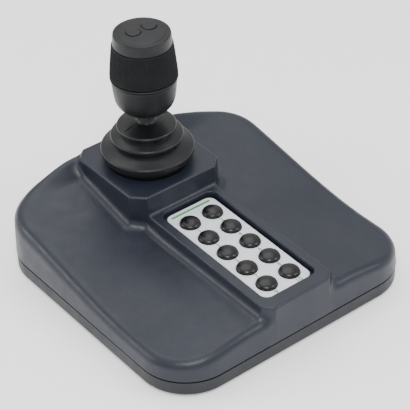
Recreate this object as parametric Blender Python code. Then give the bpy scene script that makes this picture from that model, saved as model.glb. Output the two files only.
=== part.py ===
"""Desktop hand controller: a sprung three-axis stick on a pedestal, a ten-key pad on a raised spine,
and a moulded palm-rest housing over a tray base. Sizes are in millimetres and become metres in new_object.
The origin is on the floor, under the middle of the footprint. +X is the user's right, +Y is away from them."""

import math

import bmesh
import bpy
from mathutils import Matrix, Vector

MM = 0.001

# Housing
WIDTH = 195.0
LENGTH = 194.0
CORNER_RADIUS = 33.5
FOOT_STAND = 2.0
PARTING_Z = FOOT_STAND + 10.3
PARTING_GAP = 0.3
BASE_INSET = 0.3
SIDE_DRAFT = 0.7
WALL = 3.0
TRAY_WALL = 2.5

# Wing heights above the floor, beside the spine and at the outer edge
INNER_FRONT_Z = 31.3
INNER_RISE = 16.2
INNER_START_Y = 0.0
INNER_RISE_LENGTH = 110.0
OUTER_FRONT_Z = 25.0
OUTER_RISE = 19.8
OUTER_START_Y = -50.0
OUTER_RISE_LENGTH = 158.0
BACK_LIP = 8.5
BACK_LIP_Y = 79.0
BACK_LIP_LENGTH = 14.0
WING_START_X = 36.0
WING_SPAN_FRONT = 60.0
WING_SPAN_BACK = 46.0
EDGE_RADIUS_FRONT = 6.0
EDGE_RADIUS_BACK = 8.5

# Pedestal and stick
STICK_Y = 57.9
PEDESTAL_HALF = 35.7
PEDESTAL_CHAMFER = 8.0
PEDESTAL_Z = 56.5
PIVOT_Z = 32.0
BOOT_HOLE_R = 26.1

# Spine and keypad; the keypad plane tilts up towards the back
SPINE_HALF = 27.5
SPINE_CHAMFER = 6.0
SPINE_ABOVE_PLATE = 3.0
KEYPAD_Y = -35.4
KEYPAD_Z = 38.05
KEYPAD_TILT = math.radians(1.3)
RECESS_HALF = 21.0
RECESS_BACK = 54.1
RECESS_FRONT = -50.6
RECESS_RADIUS = 5.5
PLATE_GAP = 2.0
PLATE_THICK = 1.5
LEDGE_THICK = 2.5
WINDOW_HALF = 17.2
KEY_ROWS = 5
KEY_COLUMN_PITCH = 18.2
KEY_ROW_PITCH = 18.87
KEY_RADIUS = 6.6
KEY_HOLE_RADIUS = 7.0
KEY_HEIGHT = 3.4

GAP = 0.3

# Colour, roughness and metallic value of each material
MATERIALS = {
    "slate_plastic": ((0.075, 0.082, 0.098), 0.55, 0.0),
    "base_plastic": ((0.060, 0.064, 0.072), 0.6, 0.0),
    "black_plastic": ((0.035, 0.037, 0.041), 0.5, 0.0),
    "grip_rubber": ((0.016, 0.018, 0.021), 0.75, 0.0),
    "boot_rubber": ((0.040, 0.043, 0.048), 0.7, 0.0),
    "key_gloss": ((0.010, 0.011, 0.012), 0.12, 0.0),
    "silver_plate": ((0.62, 0.64, 0.64), 0.38, 0.8),
    "silicone": ((0.55, 0.57, 0.58), 0.6, 0.0),
    "circuit_board": ((0.02, 0.17, 0.07), 0.45, 0.0),
    "steel": ((0.56, 0.57, 0.58), 0.3, 1.0),
    "nylon": ((0.78, 0.77, 0.72), 0.5, 0.0),
    "frame_plastic": ((0.10, 0.10, 0.11), 0.55, 0.0),
    "foot_rubber": ((0.02, 0.02, 0.02), 0.85, 0.0),
    "chip_epoxy": ((0.02, 0.02, 0.022), 0.45, 0.0),
    "ribbon_grey": ((0.45, 0.46, 0.48), 0.55, 0.0),
}


# ---------------------------------------------------------------- modelling helpers


def clear_scene():
    for obj in list(bpy.data.objects):
        bpy.data.objects.remove(obj, do_unlink=True)


def material(name):
    """The named Principled material, made the first time it is asked for."""
    found = bpy.data.materials.get(name)
    if found:
        return found
    colour, roughness, metallic = MATERIALS[name]
    made = bpy.data.materials.new(name)
    made.use_nodes = True
    shader = made.node_tree.nodes["Principled BSDF"]
    shader.inputs["Base Color"].default_value = (*colour, 1.0)
    shader.inputs["Roughness"].default_value = roughness
    shader.inputs["Metallic"].default_value = metallic
    made.diffuse_color = (*colour, 1.0)
    return made


def new_object(name, bm, material_name, pivot=(0, 0, 0), parent=None, sharp_deg=35):
    """An object from a bmesh in millimetres, its origin at pivot, shaded smooth but for its sharp edges."""
    bmesh.ops.recalc_face_normals(bm, faces=bm.faces)
    bm.transform(Matrix.Scale(MM, 4) @ Matrix.Translation(-Vector(pivot)))
    mesh = bpy.data.meshes.new(name)
    bm.to_mesh(mesh)
    bm.free()
    mesh.shade_smooth()
    mesh.set_sharp_from_angle(angle=math.radians(sharp_deg))
    obj = bpy.data.objects.new(name, mesh)
    obj.location = Vector(pivot) * MM
    obj.parent = parent
    bpy.context.scene.collection.objects.link(obj)
    if material_name:
        mesh.materials.append(material(material_name))
    return obj


def empty(name, at, tilt_x=0.0):
    """A parent that carries pieces which share a place and a tilt."""
    obj = bpy.data.objects.new(name, None)
    obj.location = Vector(at) * MM
    obj.rotation_euler = (tilt_x, 0, 0)
    bpy.context.scene.collection.objects.link(obj)
    return obj


def ring_faces(bm, lower, upper):
    """Quads between two rings of the same count, or a fan where one of them is a single point."""
    count = max(len(lower), len(upper))
    for i in range(count):
        a = lower[i % len(lower)]
        b = lower[(i + 1) % len(lower)]
        c = upper[(i + 1) % len(upper)]
        d = upper[i % len(upper)]
        corners = list(dict.fromkeys((a, b, c, d)))
        if len(corners) > 2:
            bm.faces.new(corners)


def turned(profile, segments=24, hollow=False, at=(0, 0, 0), turn=None):
    """A body turned about Z from (radius, height) points. A hollow one closes its last point to its first."""
    bm = bmesh.new()
    rings = []
    for radius, height in profile:
        if radius < 1e-6:
            rings.append([bm.verts.new((0, 0, height))])
            continue
        steps = [2 * math.pi * i / segments for i in range(segments)]
        rings.append([bm.verts.new((radius * math.cos(a), radius * math.sin(a), height)) for a in steps])
    pairs = list(zip(rings[:-1], rings[1:]))
    if hollow:
        pairs.append((rings[-1], rings[0]))
    for lower, upper in pairs:
        ring_faces(bm, lower, upper)
    if not hollow:
        for end in (rings[0], rings[-1]):
            if len(end) > 1:
                bm.faces.new(end)
    if turn:
        bm.transform(turn)
    bm.transform(Matrix.Translation(at))
    return bm


def prism(outline, low, high):
    """A body between two heights with the given (x, y) outline."""
    bm = bmesh.new()
    bottom = [bm.verts.new((x, y, low)) for x, y in outline]
    top = [bm.verts.new((x, y, high)) for x, y in outline]
    ring_faces(bm, bottom, top)
    bm.faces.new(bottom)
    bm.faces.new(top)
    return bm


def slab(x0, x1, y0, y1, z0, z1):
    return prism([(x0, y0), (x1, y0), (x1, y1), (x0, y1)], z0, z1)


def rounded_outline(half_x, half_y, radius, centre_y=0.0, arc_steps=6, side_steps=1):
    """A rectangle with round corners, run anticlockwise, with its sides divided into side_steps."""
    corners = [(1, 1), (-1, 1), (-1, -1), (1, -1)]
    points = []
    for n, (sx, sy) in enumerate(corners):
        cx = sx * (half_x - radius)
        cy = sy * (half_y - radius)
        start = n * math.pi / 2
        arc = [start + i * math.pi / 2 / arc_steps for i in range(arc_steps + 1)]
        arc_points = [(cx + radius * math.cos(a), cy + radius * math.sin(a)) for a in arc]
        if points:
            points += between(points[-1], arc_points[0], side_steps)
        points += arc_points
    points += between(points[-1], points[0], side_steps)
    return [(x, y + centre_y) for x, y in points]


def between(start, end, steps):
    """The points that divide a straight run into steps, without its ends."""
    shares = [i / steps for i in range(1, steps)]
    return [(start[0] + (end[0] - start[0]) * s, start[1] + (end[1] - start[1]) * s) for s in shares]


def chamfered_outline(half_x, front, back, chamfer_front, chamfer_back):
    """A rectangle with its corners cut at 45 degrees."""
    f, b = chamfer_front, chamfer_back
    right = [(half_x - f, front), (half_x, front + f), (half_x, back - b), (half_x - b, back)]
    right = list(dict.fromkeys(right))
    left = [(-x, y) for x, y in reversed(right)]
    return right + left


def cutter(name, bm, parent=None):
    obj = new_object(name, bm, None, parent=parent)
    obj.hide_render = True
    obj.display_type = "WIRE"
    return obj


def combine(target, tool, operation):
    """A Boolean modifier on target; the tool stays as a wire guide."""
    modifier = target.modifiers.new(tool.name, "BOOLEAN")
    modifier.operation = operation
    modifier.solver = "EXACT"
    modifier.object = tool


def cut(target, name, bm, parent=None):
    combine(target, cutter(name, bm, parent), "DIFFERENCE")


def join(target, name, bm, parent=None):
    combine(target, cutter(name, bm, parent), "UNION")


def smooth_step(t):
    t = min(max(t, 0.0), 1.0)
    return t * t * (3 - 2 * t)


def bezier(p0, p1, p2, p3, steps):
    """Points along a cubic curve through p0 and p3."""
    points = []
    for i in range(steps + 1):
        t = i / steps
        u = 1 - t
        weights = (u**3, 3 * u * u * t, 3 * u * t * t, t**3)
        points.append(sum((Vector(p) * w for p, w in zip((p0, p1, p2, p3), weights)), Vector((0, 0, 0))))
    return points


def wire(name, points, radius, material_name, sides_resolution=0):
    """A round wire or lead along points in millimetres."""
    curve = bpy.data.curves.new(name, "CURVE")
    curve.dimensions = "3D"
    curve.bevel_depth = radius * MM
    curve.bevel_resolution = sides_resolution
    curve.use_fill_caps = True
    spline = curve.splines.new("POLY")
    spline.points.add(len(points) - 1)
    for point, place in zip(spline.points, points):
        point.co = (*(Vector(place) * MM), 1.0)
    curve.materials.append(material(material_name))
    obj = bpy.data.objects.new(name, curve)
    bpy.context.scene.collection.objects.link(obj)
    return obj


def screw(name, at, length, head_radius=2.8, head_height=1.7, shank_radius=1.3, points="up", parent=None):
    """A pan-head screw with a hex socket; at is the point under its head, and the shank points up or down."""
    socket_radius = head_radius * 0.5
    profile = [
        (0, -0.6 * head_height + 0.5),
        (socket_radius, -0.6 * head_height + 0.5),
        (socket_radius, -head_height),
        (head_radius * 0.8, -head_height),
        (head_radius, -head_height * 0.55),
        (head_radius, 0),
        (shank_radius, 0),
        (shank_radius, length - shank_radius),
        (0, length),
    ]
    turn = Matrix.Rotation(math.pi, 4, "X") if points == "down" else None
    return new_object(name, turned(profile, 8, at=at, turn=turn), "steel", pivot=at, parent=parent)


# ---------------------------------------------------------------- housing and base


def wing_height(x, y):
    """Top of the palm rests: an S-shaped rise to the back, lower at the outer sides."""
    inner = INNER_FRONT_Z + INNER_RISE * smooth_step((y - INNER_START_Y) / INNER_RISE_LENGTH)
    inner += BACK_LIP * smooth_step((y - BACK_LIP_Y) / BACK_LIP_LENGTH)
    outer = OUTER_FRONT_Z + OUTER_RISE * smooth_step((y - OUTER_START_Y) / OUTER_RISE_LENGTH)
    back_share = smooth_step((y + LENGTH / 2) / LENGTH)
    span = WING_SPAN_FRONT + (WING_SPAN_BACK - WING_SPAN_FRONT) * back_share
    return inner + (outer - inner) * smooth_step((abs(x) - WING_START_X) / span)


def edge_drop(inside, y):
    """How far the rounded outer edge lies under the wing, at a distance inside the outline."""
    back_share = smooth_step((y + LENGTH / 2) / LENGTH)
    radius = EDGE_RADIUS_FRONT + (EDGE_RADIUS_BACK - EDGE_RADIUS_FRONT) * back_share
    if inside >= radius:
        return 0.0
    return radius - math.sqrt(radius**2 - (radius - inside) ** 2)


def wing_body(inset, drop, base_z, loop_insets, side_steps, arc_steps=6):
    """A closed body under the wing surface, from loops of the footprint's outline at growing insets."""
    bm = bmesh.new()
    draft = SIDE_DRAFT if inset == 0 else 0.0

    def loop(extra, height=None):
        off = inset + extra
        radius = max(CORNER_RADIUS - off, 3.0)
        outline = rounded_outline(WIDTH / 2 - off, LENGTH / 2 - off, radius, 0.0, arc_steps, side_steps)
        verts = []
        for x, y in outline:
            z = height if height is not None else wing_height(x, y) - drop - edge_drop(extra, y)
            verts.append(bm.verts.new((x, y, z)))
        return verts

    rings = [loop(0.0, base_z)] + [loop(draft + extra) for extra in loop_insets]
    for lower, upper in zip(rings[:-1], rings[1:]):
        ring_faces(bm, lower, upper)
    bm.faces.new(rings[0])
    bm.faces.new(rings[-1])
    bmesh.ops.triangulate(bm, faces=[f for f in bm.faces if len(f.verts) == 4])
    return bm


def spine_prism(half, front, back, low, high, chamfer):
    return prism(chamfered_outline(half, front - KEYPAD_Y, back - KEYPAD_Y, chamfer, 0), low, high)


def build_housing(keypad):
    """Top housing: wings, pedestal and spine in one hollow shell, with its bosses and openings."""
    housing = new_object(
        "top_housing",
        wing_body(0.0, 0.0, PARTING_Z, [0.0, 1.5, 5.0, 12.0, 30.0, 61.0, 92.0], 6, 5),
        "slate_plastic",
    )
    half = PEDESTAL_HALF
    pedestal = chamfered_outline(half, STICK_Y - half, STICK_Y + half, PEDESTAL_CHAMFER, PEDESTAL_CHAMFER)
    join(housing, "guide_pedestal", prism(pedestal, PARTING_Z + 12, PEDESTAL_Z))
    front = -LENGTH / 2 + SIDE_DRAFT + 0.2
    spine = spine_prism(SPINE_HALF, front, STICK_Y, -20.0, SPINE_ABOVE_PLATE, SPINE_CHAMFER)
    join(housing, "guide_spine", spine, keypad)

    cavity = wing_body(WALL, WALL, PARTING_Z - 5, [0.0, 14.0, 40.0, 65.0, 90.0], 4, 3)
    cut(housing, "cutter_cavity", cavity)
    inner = half - WALL
    chamfer = PEDESTAL_CHAMFER - 1.2
    room = chamfered_outline(inner, STICK_Y - inner, STICK_Y + inner, chamfer, chamfer)
    cut(housing, "cutter_pedestal", prism(room, PARTING_Z - 4, PEDESTAL_Z - WALL))
    ledge_low = -(PLATE_THICK + GAP + LEDGE_THICK)
    spine_room = spine_prism(SPINE_HALF - WALL, -LENGTH / 2 + 4, STICK_Y, -22.0, ledge_low, SPINE_CHAMFER - 1)
    cut(housing, "cutter_spine", spine_room, keypad)

    cut(housing, "cutter_boot_hole", turned([(0, 45), (BOOT_HOLE_R, 45), (BOOT_HOLE_R, 60), (0, 60)], 24,
                                            at=(0, STICK_Y, 0)))
    recess_middle = (RECESS_BACK + RECESS_FRONT) / 2
    recess_half_y = (RECESS_BACK - RECESS_FRONT) / 2
    recess = rounded_outline(RECESS_HALF, recess_half_y, RECESS_RADIUS, recess_middle, 4)
    cut(housing, "cutter_recess", prism(recess, -(PLATE_THICK + GAP), 9.0), keypad)
    window = rounded_outline(WINDOW_HALF, recess_half_y - 4, 3.0, recess_middle, 2)
    cut(housing, "cutter_window", prism(window, -12.0, 0.0), keypad)
    add_bosses(housing, keypad)
    add_socket_opening(housing)
    return housing


BASE_SCREWS = [(sx * 76.0, sy * 62.0) for sy in (-1, 1) for sx in (-1, 1)]
KEYPAD_POSTS = [(-21.0, 46.0), (21.0, -46.0)]
GIMBAL_POSTS = [(sx * 26.5, STICK_Y + sy * 26.5) for sy in (-1, 1) for sx in (-1, 1)]
BOSS_RADIUS = 4.0
TRAY_FLOOR_Z = FOOT_STAND + 3.2
POST_TOP_KEYPAD = -4.0
KEYPAD_BOARD_TOP = -8.6
GIMBAL_FLANGE_TOP = PEDESTAL_Z - WALL - 3.1


def add_bosses(housing, keypad):
    """Screw bosses under the wings, the pedestal and the keypad ledge, each with its pilot hole."""
    for n, (x, y) in enumerate(BASE_SCREWS):
        top = wing_height(x, y) - 1.5
        join(housing, f"guide_boss_{n}", turned([(0, TRAY_FLOOR_Z + GAP), (BOSS_RADIUS, TRAY_FLOOR_Z + GAP),
                                                 (BOSS_RADIUS, top), (0, top)], 12, at=(x, y, 0)))
        cut(housing, f"cutter_pilot_{n}", turned([(0, 4), (1.7, 4), (1.7, 18), (0, 18)], 8, at=(x, y, 0)))
    for n, (x, y) in enumerate(GIMBAL_POSTS):
        low = GIMBAL_FLANGE_TOP + GAP
        join(housing, f"guide_gimbal_post_{n}", turned([(0, low), (3.2, low), (3.2, PEDESTAL_Z - 2),
                                                        (0, PEDESTAL_Z - 2)], 10, at=(x, y, 0)))
        cut(housing, f"cutter_gimbal_pilot_{n}", turned([(0, low - 5), (1.6, low - 5), (1.6, PEDESTAL_Z - 1.8),
                                                         (0, PEDESTAL_Z - 1.8)], 8, at=(x, y, 0)))
    for n, (x, y) in enumerate(KEYPAD_POSTS):
        low = KEYPAD_BOARD_TOP + GAP
        join(housing, f"guide_keypad_post_{n}", turned([(0, low), (2.6, low), (2.6, POST_TOP_KEYPAD),
                                                        (0, POST_TOP_KEYPAD)], 10, at=(x, y, 0)), keypad)
        cut(housing, f"cutter_keypad_pilot_{n}", turned([(0, low - 5), (1.3, low - 5), (1.3, -3.0), (0, -3.0)],
                                                        8, at=(x, y, 0)), keypad)


SOCKET_X = -54.0
SOCKET_HALF = 6.0
SOCKET_LOW = 13.1
SOCKET_HIGH = 24.1
SOCKET_MOUTH_Y = LENGTH / 2 - 1.8
BOARD_Z = 11.2
BOARD_THICK = 1.6
HEADER_HEIGHT = 4.0
BOARD_X = (-71.0, -37.0)
BOARD_Y = (6.0, 91.5)
BOARD_POSTS = [(-67.0, 12.0), (-41.0, 70.0)]


def add_socket_opening(housing):
    cut(housing, "cutter_socket", slab(SOCKET_X - SOCKET_HALF - 0.5, SOCKET_X + SOCKET_HALF + 0.5,
                                       LENGTH / 2 - 12, LENGTH / 2 + 5, PARTING_Z - 3, SOCKET_HIGH + 0.5))


def build_base():
    """Base tray with its screw holes, foot pockets and board posts."""
    outline = rounded_outline(WIDTH / 2 - BASE_INSET, LENGTH / 2 - BASE_INSET, CORNER_RADIUS - BASE_INSET)
    base = new_object("base_plate", prism(outline, FOOT_STAND, PARTING_Z - PARTING_GAP), "base_plastic")
    off = BASE_INSET + TRAY_WALL
    room = rounded_outline(WIDTH / 2 - off, LENGTH / 2 - off, CORNER_RADIUS - off)
    cut(base, "cutter_tray", prism(room, TRAY_FLOOR_Z, PARTING_Z + 5))
    for n, (x, y) in enumerate(BASE_SCREWS):
        hole = [(0, 0), (3.6, 0), (3.6, FOOT_STAND + 1.7), (1.8, FOOT_STAND + 1.7), (1.8, 8), (0, 8)]
        cut(base, f"cutter_base_screw_{n}", turned(hole, 10, at=(x, y, 0)))
    for n, (x, y) in enumerate(FEET):
        pocket = [(0, 0), (FOOT_RADIUS + GAP, 0), (FOOT_RADIUS + GAP, FOOT_STAND + 1.0), (0, FOOT_STAND + 1.0)]
        cut(base, f"cutter_foot_{n}", turned(pocket, 16, at=(x, y, 0)))
    for n, (x, y) in enumerate(BOARD_POSTS):
        low, top = TRAY_FLOOR_Z - 1, BOARD_Z - GAP
        post = [(0, low), (3.0, low), (3.0, top), (0, top)]
        join(base, f"guide_board_post_{n}", turned(post, 10, at=(x, y, 0)))
        pilot = [(0, low + 1), (1.25, low + 1), (1.25, top + 1), (0, top + 1)]
        cut(base, f"cutter_board_pilot_{n}", turned(pilot, 8, at=(x, y, 0)))
    for n, (x, y) in enumerate(BASE_SCREWS):
        screw(f"base_screw_{n + 1}", (x, y, FOOT_STAND + 1.7 - GAP), 12.5, head_radius=3.1, head_height=1.2)
    return base


FOOT_RADIUS = 8.0
FEET = [(sx * 60.0, sy * 78.0) for sy in (-1, 1) for sx in (-1, 1)]
FOOT_NAMES = ["foot_front_left", "foot_front_right", "foot_back_left", "foot_back_right"]


def build_feet():
    for name, (x, y) in zip(FOOT_NAMES, FEET):
        top = FOOT_STAND + 1.0 - GAP
        profile = [(0, 0), (FOOT_RADIUS - 0.8, 0), (FOOT_RADIUS, 0.8), (FOOT_RADIUS, top), (0, top)]
        new_object(name, turned(profile, 16, at=(x, y, 0)), "foot_rubber", pivot=(x, y, 0))


# ---------------------------------------------------------------- keypad


def key_places():
    """Each key's number and its place on the keypad plane: odd keys left, even keys right, 1 at the back."""
    places = []
    for row in range(KEY_ROWS):
        for column in range(2):
            x = (column - 0.5) * KEY_COLUMN_PITCH
            y = ((KEY_ROWS - 1) / 2 - row) * KEY_ROW_PITCH
            places.append((2 * row + column + 1, x, y))
    return places


def build_keypad(keypad):
    """Plate, keys, silicone dome mat and board, all placed in the keypad's tilted plane."""
    middle = (RECESS_BACK + RECESS_FRONT) / 2
    half_y = (RECESS_BACK - RECESS_FRONT) / 2 - PLATE_GAP
    outline = rounded_outline(RECESS_HALF - PLATE_GAP, half_y, 5.0, middle, 4)
    plate = new_object("keypad_plate", prism(outline, -PLATE_THICK, 0.0), "silver_plate", parent=keypad)
    for number, x, y in key_places():
        hole = [(0, -5), (KEY_HOLE_RADIUS, -5), (KEY_HOLE_RADIUS, 5), (0, 5)]
        cut(plate, f"cutter_key_hole_{number}", turned(hole, 14, at=(x, y, 0)), keypad)
        build_key(number, x, y, keypad)
    board_top = KEYPAD_BOARD_TOP
    mat = new_object(
        "key_mat",
        prism(rounded_outline(17.5, half_y - 4, 2.0, middle, 2), board_top + GAP, board_top + GAP + 1.0),
        "silicone",
        parent=keypad,
    )
    for number, x, y in key_places():
        dome = [(0, board_top + 0.8), (5.4, board_top + 0.8), (5.4, board_top + 1.8), (3.4, board_top + 3.6),
                (3.0, board_top + 4.2), (0, board_top + 4.2)]
        join(mat, f"guide_dome_{number}", turned(dome, 8, at=(x, y, 0)), keypad)
    board = new_object(
        "keypad_board",
        prism(rounded_outline(23.8, half_y + 1.5, 1.5, middle, 2), board_top - BOARD_THICK, board_top),
        "circuit_board",
        parent=keypad,
    )
    for n, (x, y) in enumerate(KEYPAD_POSTS):
        hole = [(0, board_top - 5), (1.8, board_top - 5), (1.8, board_top + 5), (0, board_top + 5)]
        cut(board, f"cutter_keypad_screw_{n}", turned(hole, 8, at=(x, y, 0)), keypad)
        place = (x, y, board_top - BOARD_THICK - GAP)
        screw(f"keypad_screw_{n + 1}", place, 6.0, 2.5, 1.5, 1.0, parent=keypad)
    under = board_top - BOARD_THICK
    join(board, "guide_keypad_header", slab(-23.0, -15.0, -22.0, -8.0, under - 3.0, under + 0.5), keypad)


def build_key(number, x, y, keypad):
    """A domed cap with a retaining flange under the plate and a stem down to its silicone dome."""
    crown = []
    for step in range(4):
        angle = math.radians(18 + 72 * step / 3)
        crown.append((KEY_RADIUS * math.cos(angle), 0.9 + (KEY_HEIGHT - 0.9) * math.sin(angle)))
    profile = [
        (0, -4.0),
        (2.6, -4.0),
        (2.6, -3.2),
        (KEY_HOLE_RADIUS + 0.7, -3.2),
        (KEY_HOLE_RADIUS + 0.7, -PLATE_THICK - GAP),
        (KEY_RADIUS, -PLATE_THICK - GAP),
        (KEY_RADIUS, 0.9),
    ] + crown[:-1] + [(0, KEY_HEIGHT)]
    new_object(f"key_{number}", turned(profile, 14, at=(x, y, 0)), "key_gloss", pivot=(x, y, 0), parent=keypad)


# ---------------------------------------------------------------- gimbal and stick


FRAME_HALF = 28.5
FRAME_WALL = 3.0
FRAME_LOW = 20.0
YOKE_HALF = 21.0
YOKE_WALL = 4.0
YOKE_HEIGHT = 9.0
HUB_HALF_X = 7.0
HUB_HALF_Y = 12.5
PIN_RADIUS = 2.0
SHAFT_RADIUS = 4.0
SHAFT_TOP = 127.6


def along(axis):
    """The turn that lays a body built along Z onto the +X or +Y axis."""
    return Matrix.Rotation(math.pi / 2, 4, "Y") if axis == "X" else Matrix.Rotation(-math.pi / 2, 4, "X")


def pin(name, axis, start, end):
    """A pivot pin along an axis through the gimbal's centre, its pivot at that centre."""
    low, high = sorted((start, end))
    profile = [(0, low), (PIN_RADIUS - 0.3, low), (PIN_RADIUS, low + 0.3), (PIN_RADIUS, high - 0.3),
               (PIN_RADIUS - 0.3, high), (0, high)]
    centre = (0, STICK_Y, PIVOT_Z)
    return new_object(name, turned(profile, 14, at=centre, turn=along(axis)), "steel", pivot=centre)


def pin_hole(target, name, axis, start, end):
    radius = PIN_RADIUS + GAP
    profile = [(0, start), (radius, start), (radius, end), (0, end)]
    cut(target, name, turned(profile, 14, at=(0, STICK_Y, PIVOT_Z), turn=along(axis)))


def square_ring(half, wall, low, high):
    """A square tube about the stick's axis as a closed body."""
    bm = bmesh.new()
    rings = []
    for size, z in ((half, low), (half, high), (half - wall, high), (half - wall, low)):
        corners = [(1, 1), (-1, 1), (-1, -1), (1, -1)]
        rings.append([bm.verts.new((sx * size, STICK_Y + sy * size, z)) for sx, sy in corners])
    for n in range(4):
        ring_faces(bm, rings[n], rings[(n + 1) % 4])
    return bm


def build_gimbal_frame():
    """Fixed frame: a square tube with a drilled top flange, hung under the pedestal."""
    low = GIMBAL_FLANGE_TOP - 2.5
    frame = new_object("gimbal_frame", square_ring(FRAME_HALF, FRAME_WALL, FRAME_LOW, low + 1), "frame_plastic")
    outer = FRAME_HALF + 2.0
    flange = chamfered_outline(outer, STICK_Y - outer, STICK_Y + outer, 4.5, 4.5)
    join(frame, "guide_flange", prism(flange, low, GIMBAL_FLANGE_TOP))
    cut(frame, "cutter_flange", turned([(0, low - 1), (24.5, low - 1), (24.5, 60), (0, 60)], 20,
                                       at=(0, STICK_Y, 0)))
    for n, (x, y) in enumerate(GIMBAL_POSTS):
        hole = [(0, low - 9), (1.7, low - 9), (1.7, 60), (0, 60)]
        cut(frame, f"cutter_gimbal_screw_{n}", turned(hole, 8, at=(x, y, 0)))
        relief = [(0, FRAME_LOW - 1), (3.7, FRAME_LOW - 1), (3.7, low), (0, low)]
        cut(frame, f"cutter_gimbal_relief_{n}", turned(relief, 10, at=(x, y, 0)))
        screw(f"gimbal_screw_{n + 1}", (x, y, low - GAP), 6.7, 2.8, 1.7, 1.2)
    pin_hole(frame, "cutter_frame_pins", "X", -FRAME_HALF - 5, FRAME_HALF + 5)


def build_yoke():
    """Yoke: turns about X in the frame, and carries the stick's hub on the Y axis."""
    low = PIVOT_Z - YOKE_HEIGHT / 2
    yoke = new_object("gimbal_yoke", square_ring(YOKE_HALF, YOKE_WALL, low, low + YOKE_HEIGHT), "nylon")
    pin_hole(yoke, "cutter_yoke_pins", "X", -YOKE_HALF - 1, YOKE_HALF + 1)
    pin_hole(yoke, "cutter_hub_pins", "Y", -YOKE_HALF - 1, YOKE_HALF + 1)
    pin("yoke_pin_left", "X", -FRAME_HALF + GAP, -YOKE_HALF + YOKE_WALL - 1)
    pin("yoke_pin_right", "X", YOKE_HALF - YOKE_WALL + 1, FRAME_HALF + 1.5)


def build_stick():
    """The hub on the Y axis, and the hollow shaft up into the knob."""
    half_x, half_y = HUB_HALF_X, HUB_HALF_Y
    hub_box = slab(-half_x, half_x, STICK_Y - half_y, STICK_Y + half_y, PIVOT_Z - 5.5, PIVOT_Z + 5.5)
    hub = new_object("stick_hub", hub_box, "nylon", pivot=(0, STICK_Y, PIVOT_Z))
    reach = YOKE_HALF + 1.3
    trunnion = [(0, -reach), (PIN_RADIUS, -reach), (PIN_RADIUS, reach), (0, reach)]
    join(hub, "guide_trunnions", turned(trunnion, 14, at=(0, STICK_Y, PIVOT_Z), turn=along("Y")))
    bore = SHAFT_RADIUS + GAP
    cut(hub, "cutter_hub_bore", turned([(0, 0), (bore, 0), (bore, 60), (0, 60)], 20, at=(0, STICK_Y, 0)))
    low = PIVOT_Z - 7.5
    bore_radius = 2.2
    profile = [(SHAFT_RADIUS, low), (SHAFT_RADIUS, SHAFT_TOP), (bore_radius, SHAFT_TOP), (bore_radius, low)]
    shaft = turned(profile, 20, hollow=True, at=(0, STICK_Y, 0))
    new_object("stick_shaft", shaft, "steel", pivot=(0, STICK_Y, PIVOT_Z))


def torsion_spring(name, centre, axis, radius, turns, length, leg):
    """A centring spring: a close coil about an axis, with both straight legs out to the same side."""
    points = []
    steps_per_turn = 9
    count = int(turns * steps_per_turn)
    for i in range(count + 1):
        angle = 2 * math.pi * i / steps_per_turn
        points.append(Vector((radius * math.cos(angle), radius * math.sin(angle), length * (i / count - 0.5))))
    start = points[0] + Vector((0, -leg, 0))
    end_angle = 2 * math.pi * count / steps_per_turn
    tangent = Vector((-math.sin(end_angle), math.cos(end_angle), 0))
    points = [start] + points + [points[-1] + tangent * leg]
    turn = along(axis) if axis != "Z" else Matrix.Identity(4)
    place = Matrix.Translation(centre) @ turn
    return wire(name, [place @ p for p in points], 0.45, "steel")


def build_sensors():
    """Hall sensor boards facing the ends of the two pivot pins, and their centring springs."""
    side = slab(FRAME_HALF + 1.9, FRAME_HALF + 3.5, STICK_Y - 7, STICK_Y + 7, PIVOT_Z - 7, PIVOT_Z + 7)
    new_object("fore_aft_sensor", side, "circuit_board")
    back = slab(-6, 6, STICK_Y + YOKE_HALF + 1.9, STICK_Y + YOKE_HALF + 3.3, PIVOT_Z - 4.5, PIVOT_Z + 4.5)
    new_object("side_sensor", back, "circuit_board", pivot=(0, STICK_Y, PIVOT_Z))
    middle_x = (FRAME_HALF - FRAME_WALL + YOKE_HALF) / 2
    torsion_spring("fore_aft_spring", (-middle_x, STICK_Y, PIVOT_Z), "X", 3.6, 3.0, 3.6, 3.0)
    middle_y = (HUB_HALF_Y + YOKE_HALF - YOKE_WALL) / 2
    torsion_spring("side_spring", (0, STICK_Y - middle_y, PIVOT_Z), "Y", 3.4, 2.5, 2.4, 1.5)


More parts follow.
